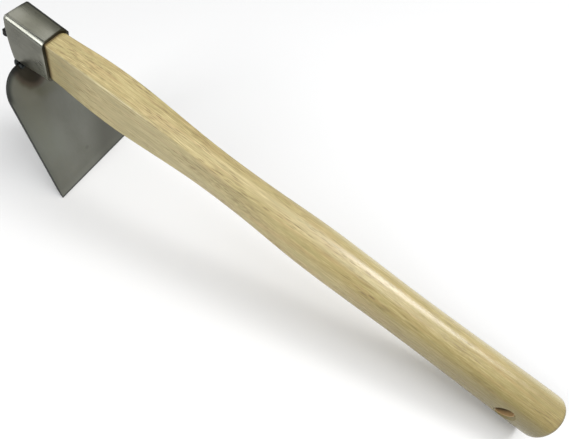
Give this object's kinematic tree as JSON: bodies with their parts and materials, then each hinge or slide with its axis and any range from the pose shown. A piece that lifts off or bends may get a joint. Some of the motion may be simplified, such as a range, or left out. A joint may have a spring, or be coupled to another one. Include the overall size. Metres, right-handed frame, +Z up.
{
  "type": "garden hoe",
  "caption": "Short-handled garden hoe: a flat steel blade welded under a square steel collar, wedged on a shaped wooden handle with a hanging hole.",
  "frame": {"origin": "on the ground, under the middle of the bounding box, with the hoe standing on its cutting edge and its butt", "axes": "+X from the head towards the butt along the ground, +Y across to the side away from the picture's viewer, +Z up"},
  "size_m": [0.4046, 0.0812, 0.1195],
  "materials": {
    "handle": "pale close-grained hardwood with short dark pores, clear lacquer",
    "collar": "fine brushed sheet steel, bent square, polished along the bends",
    "blade": "ground plate steel with a brown heat tint below the weld",
    "weld": "dark oxidised weld bead",
    "wedge": "black forged iron"
  },
  "bodies": {
    "root": {"handle": "handle", "collar": "collar", "blade": "blade", "weld_bead_front": "weld", "weld_bead_back": "weld", "wedge": "wedge"}
  },
  "joints": []
}
